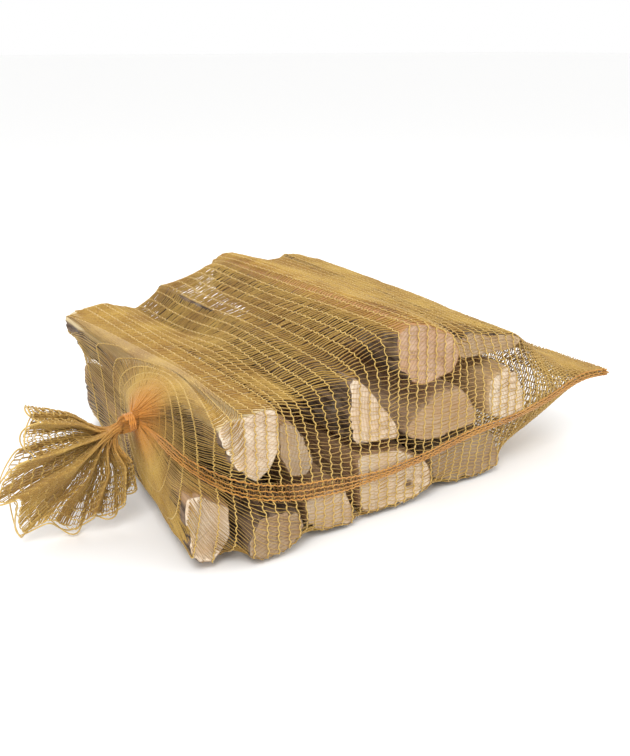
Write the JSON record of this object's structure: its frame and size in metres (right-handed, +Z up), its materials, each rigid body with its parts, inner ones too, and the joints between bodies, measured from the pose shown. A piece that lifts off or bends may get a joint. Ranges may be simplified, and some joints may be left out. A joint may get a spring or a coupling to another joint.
{
  "type": "firewood bundle",
  "caption": "Split firewood logs packed tight in a knitted net sack that lies on its side, its mouth gathered, tied and left as a loose tail.",
  "frame": {"origin": "middle of the underside of the whole object's box, on the surface that the sack lies on", "axes": "+X along the sack from its tied neck to its sewn bottom, +Y along the logs away from the ends that face forward, +Z up"},
  "size_m": [0.4776, 0.37, 0.1517],
  "materials": {
    "pale_wood": "dry split and sawn timber with strips of bark",
    "brown_wood": "rough bark and weathered split faces",
    "net": "thin knitted polyethylene tape with a soft sheen",
    "tie": "twisted polyethylene cord with a soft sheen"
  },
  "bodies": {
    "root": {"log_bottom_1": "pale_wood", "log_bottom_2": "brown_wood", "log_bottom_3": "pale_wood", "log_bottom_4": "pale_wood", "log_bottom_5": "brown_wood", "log_middle_1": "pale_wood", "log_middle_2": "brown_wood", "log_middle_3": "pale_wood", "log_middle_4": "pale_wood", "log_middle_5": "pale_wood", "log_top_1": "pale_wood", "log_top_2": "brown_wood", "net_sack": "net", "neck_tie": "tie"}
  },
  "joints": []
}
